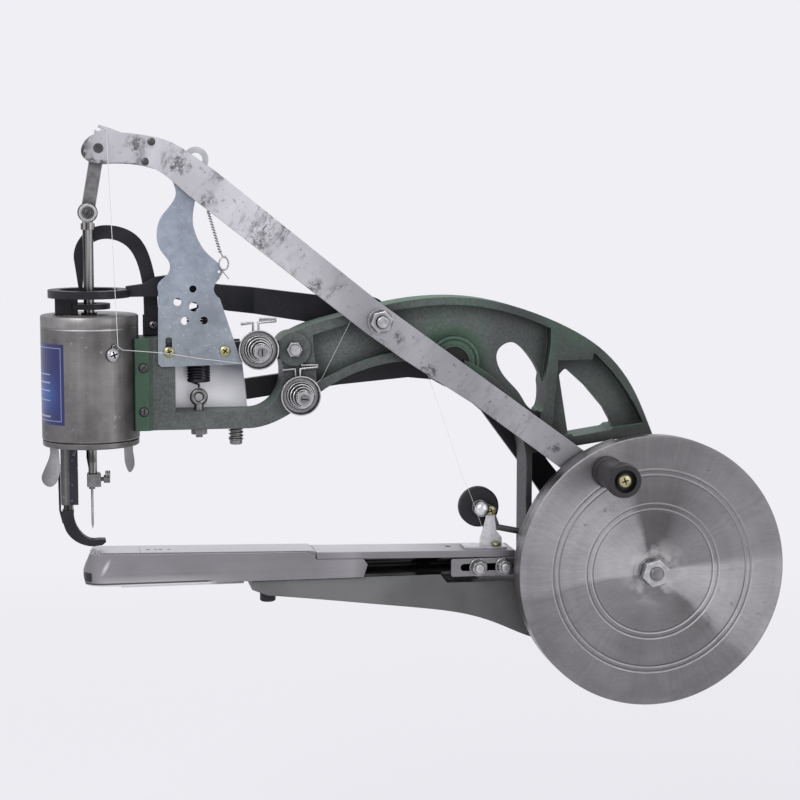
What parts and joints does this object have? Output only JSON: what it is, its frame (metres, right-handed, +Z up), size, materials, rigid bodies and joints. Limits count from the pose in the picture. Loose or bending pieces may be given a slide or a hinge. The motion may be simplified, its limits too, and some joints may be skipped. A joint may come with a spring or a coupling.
{
  "type": "leather sewing machine",
  "caption": "Hand-cranked cast frame sewing machine with a swivelling needle head, long horn, rocking needle lever, thread tensions, bobbin winder and flywheel crank.",
  "frame": {"origin": "centre of the stand foot's underside, below the main shaft", "axes": "+Z up; +X from the needle head toward the flywheel, along the horn; +Y away from the operator"},
  "size_m": [0.5396, 0.139, 0.4238],
  "materials": {
    "casting": "hammered satin",
    "barrel_steel": "brushed",
    "lever_steel": "worn bright",
    "black_steel": "satin black",
    "horn_steel": "ground",
    "bright_steel": "machined",
    "wheel_steel": "turned",
    "zinc_plate": "galvanised",
    "grip_plastic": "moulded"
  },
  "bodies": {
    "frame": {"frame_casting": "casting", "tie_bar": "black_steel", "tie_bolt": "black_steel", "thread_guide_plate": "zinc_plate", "rear_guard_plate": "zinc_plate", "eye_bolt": "black_steel", "return_spring": "black_steel", "adjusting_screw": "bright_steel", "presser_strap": "black_steel", "head_barrel": "barrel_steel", "horn_body": "horn_steel", "needle_plate": "horn_steel", "horn_top_plate": "horn_steel", "rear_top_plate": "horn_steel", "horn_bolt": "black_steel", "slotted_plate": "horn_steel", "shuttle_race": "horn_steel", "lever_pivot_stud": "black_steel", "lever_pivot_nut": "black_steel", "feed_pivot_stud": "black_steel", "upper_tension_post": "bright_steel", "lower_tension_post": "bright_steel", "upper_thread_hook": "bright_steel", "lower_thread_hook": "bright_steel", "winder_bracket": "zinc_plate"},
    "flywheel": {"flywheel_disc": "wheel_steel", "flywheel_ring": "wheel_steel", "main_shaft": "bright_steel", "shaft_nut": "bright_steel", "feed_cam": "bright_steel", "grip_bolt": "bright_steel"},
    "crank_grip": {"crank_grip": "grip_plastic"},
    "needle_lever": {"needle_lever_bar": "lever_steel", "lever_rear_cheek": "lever_steel", "link_pin": "bright_steel", "roller_pin": "bright_steel"},
    "cam_roller": {"cam_roller": "bright_steel"},
    "needle_link": {"needle_link": "lever_steel"},
    "needle_bar": {"needle_bar": "bright_steel", "link_screw": "bright_steel"},
    "needle_clamp": {"needle_clamp": "bright_steel", "needle": "bright_steel"},
    "head_rotor": {"rotor_sleeve": "barrel_steel", "rotor_ring": "barrel_steel", "presser_guide": "bright_steel"},
    "presser": {"feed_collar": "bright_steel", "presser_bar": "bright_steel", "presser_foot": "bright_steel"},
    "fork_lever": {"fork_lever": "black_steel"},
    "feed_lever": {"feed_lever": "black_steel"},
    "front_cover": {"front_cover": "horn_steel"},
    "shuttle_rod": {"shuttle_rod": "horn_steel"},
    "shuttle": {"shuttle": "bright_steel"},
    "bobbin": {"bobbin": "bright_steel"},
    "winder_arm": {"winder_arm": "zinc_plate"},
    "winder_wheel": {"winder_wheel": "zinc_plate"},
    "upper_tension_nut": {"upper_tension_nut": "bright_steel"},
    "lower_tension_nut": {"lower_tension_nut": "bright_steel"}
  },
  "joints": [
    {"name": "flywheel_turn", "type": "hinge", "parent": "frame", "child": "flywheel", "pos_m": [0, 0, 0.07], "axis": [0, 1, 0], "continuous": true},
    {"name": "crank_grip_turn", "type": "hinge", "parent": "flywheel", "child": "crank_grip", "pos_m": [-0.0358, -0.072, 0.1448], "axis": [0, 1, 0], "continuous": true},
    {"name": "needle_lever_swing", "type": "hinge", "parent": "frame", "child": "needle_lever", "pos_m": [-0.1985, -0.023, 0.2545], "axis": [0, 1, 0], "range_deg": [-5.5, 3]},
    {"name": "cam_roller_turn", "type": "hinge", "parent": "needle_lever", "child": "cam_roller", "pos_m": [-0.0288, -0.031, 0.1308], "axis": [0, 1, 0], "continuous": true},
    {"name": "needle_link_swing", "type": "hinge", "parent": "needle_lever", "child": "needle_link", "pos_m": [-0.396, 0, 0.3775], "axis": [0, 1, 0], "range_deg": [-9, 5]},
    {"name": "needle_bar_slide", "type": "slide", "parent": "frame", "child": "needle_bar", "axis": [0, 0, 1], "range_m": [-0.021, 0.0115]},
    {"name": "needle_clamp_turn", "type": "hinge", "parent": "needle_bar", "child": "needle_clamp", "pos_m": [-0.404, 0, 0.141], "axis": [0, 0, 1], "continuous": true},
    {"name": "head_turn", "type": "hinge", "parent": "frame", "child": "head_rotor", "pos_m": [-0.404, 0, 0.21], "axis": [0, 0, 1], "continuous": true},
    {"name": "presser_slide", "type": "slide", "parent": "head_rotor", "child": "presser", "axis": [0, 0, 1], "range_m": [-0.0026, 0.0037]},
    {"name": "fork_lever_swing", "type": "hinge", "parent": "frame", "child": "fork_lever", "pos_m": [-0.1985, 0.0235, 0.2545], "axis": [0, 1, 0], "range_deg": [-0.7, 1], "deforming": ["return_spring"]},
    {"name": "feed_lever_swing", "type": "hinge", "parent": "frame", "child": "feed_lever", "pos_m": [-0.1418, 0.0235, 0.223], "axis": [0, 1, 0], "range_deg": [-1.5, 1.5]},
    {"name": "front_cover_slide", "type": "slide", "parent": "frame", "child": "front_cover", "axis": [-1, 0, 0], "range_m": [0, 0.06]},
    {"name": "shuttle_rod_slide", "type": "slide", "parent": "frame", "child": "shuttle_rod", "axis": [1, 0, 0], "range_m": [-0.003, 0.003]},
    {"name": "shuttle_turn", "type": "hinge", "parent": "frame", "child": "shuttle", "pos_m": [-0.393, -0.005, 0.0762], "axis": [0, 1, 0], "range_deg": [-70, 70]},
    {"name": "bobbin_turn", "type": "hinge", "parent": "shuttle", "child": "bobbin", "pos_m": [-0.393, -0.0065, 0.0762], "axis": [0, 1, 0], "continuous": true},
    {"name": "winder_arm_swing", "type": "hinge", "parent": "frame", "child": "winder_arm", "pos_m": [-0.1127, -0.003, 0.1118], "axis": [0, 1, 0], "range_deg": [0, 15]},
    {"name": "winder_wheel_turn", "type": "hinge", "parent": "winder_arm", "child": "winder_wheel", "pos_m": [-0.12, 0.003, 0.1134], "axis": [0, 1, 0], "continuous": true},
    {"name": "upper_tension_turn", "type": "hinge", "parent": "frame", "child": "upper_tension_nut", "pos_m": [-0.2856, -0.04, 0.2349], "axis": [0, 1, 0], "continuous": true},
    {"name": "lower_tension_turn", "type": "hinge", "parent": "frame", "child": "lower_tension_nut", "pos_m": [-0.2555, -0.04, 0.2014], "axis": [0, 1, 0], "continuous": true}
  ],
  "couplings": [
    {"joint": "needle_link_swing", "follows": "needle_lever_swing", "ratio": 1.6},
    {"joint": "needle_bar_slide", "follows": "needle_lever_swing", "m_per_rad": 0.215},
    {"joint": "needle_clamp_turn", "follows": "head_turn", "ratio": 1},
    {"joint": "presser_slide", "follows": "fork_lever_swing", "m_per_rad": 0.2055},
    {"joint": "shuttle_turn", "follows": "shuttle_rod_slide", "rad_per_m": -400}
  ]
}
